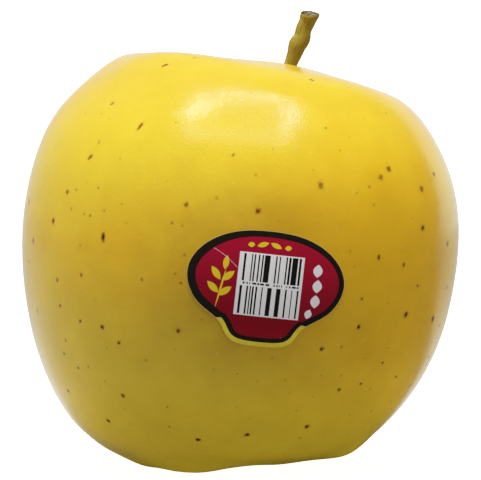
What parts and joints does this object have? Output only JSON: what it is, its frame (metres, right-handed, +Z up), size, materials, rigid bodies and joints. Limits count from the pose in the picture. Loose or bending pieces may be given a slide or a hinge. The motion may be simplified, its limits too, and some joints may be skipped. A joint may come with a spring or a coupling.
{
  "type": "apple",
  "caption": "Whole yellow apple that stands on its lobes, with a woody stem, a printed fruit label on its side and a dried calyx underneath.",
  "frame": {"origin": "middle of the apple's box at the surface it stands on", "axes": "+Z up, out of the stem's side; the labelled front faces -Y; the stem leans towards +X"},
  "size_m": [0.086, 0.0864, 0.0892],
  "materials": {
    "skin": "waxy yellow apple skin with fine brown and pale lenticels",
    "stem": "matt olive-brown bark with a rough, greyish cut end",
    "label": "satin printed film in crimson, black, yellow and pale grey",
    "calyx": "dry, papery brown sepals"
  },
  "bodies": {
    "root": {"apple": "skin", "stem": "stem", "sticker": "label", "calyx": "calyx"}
  },
  "joints": []
}
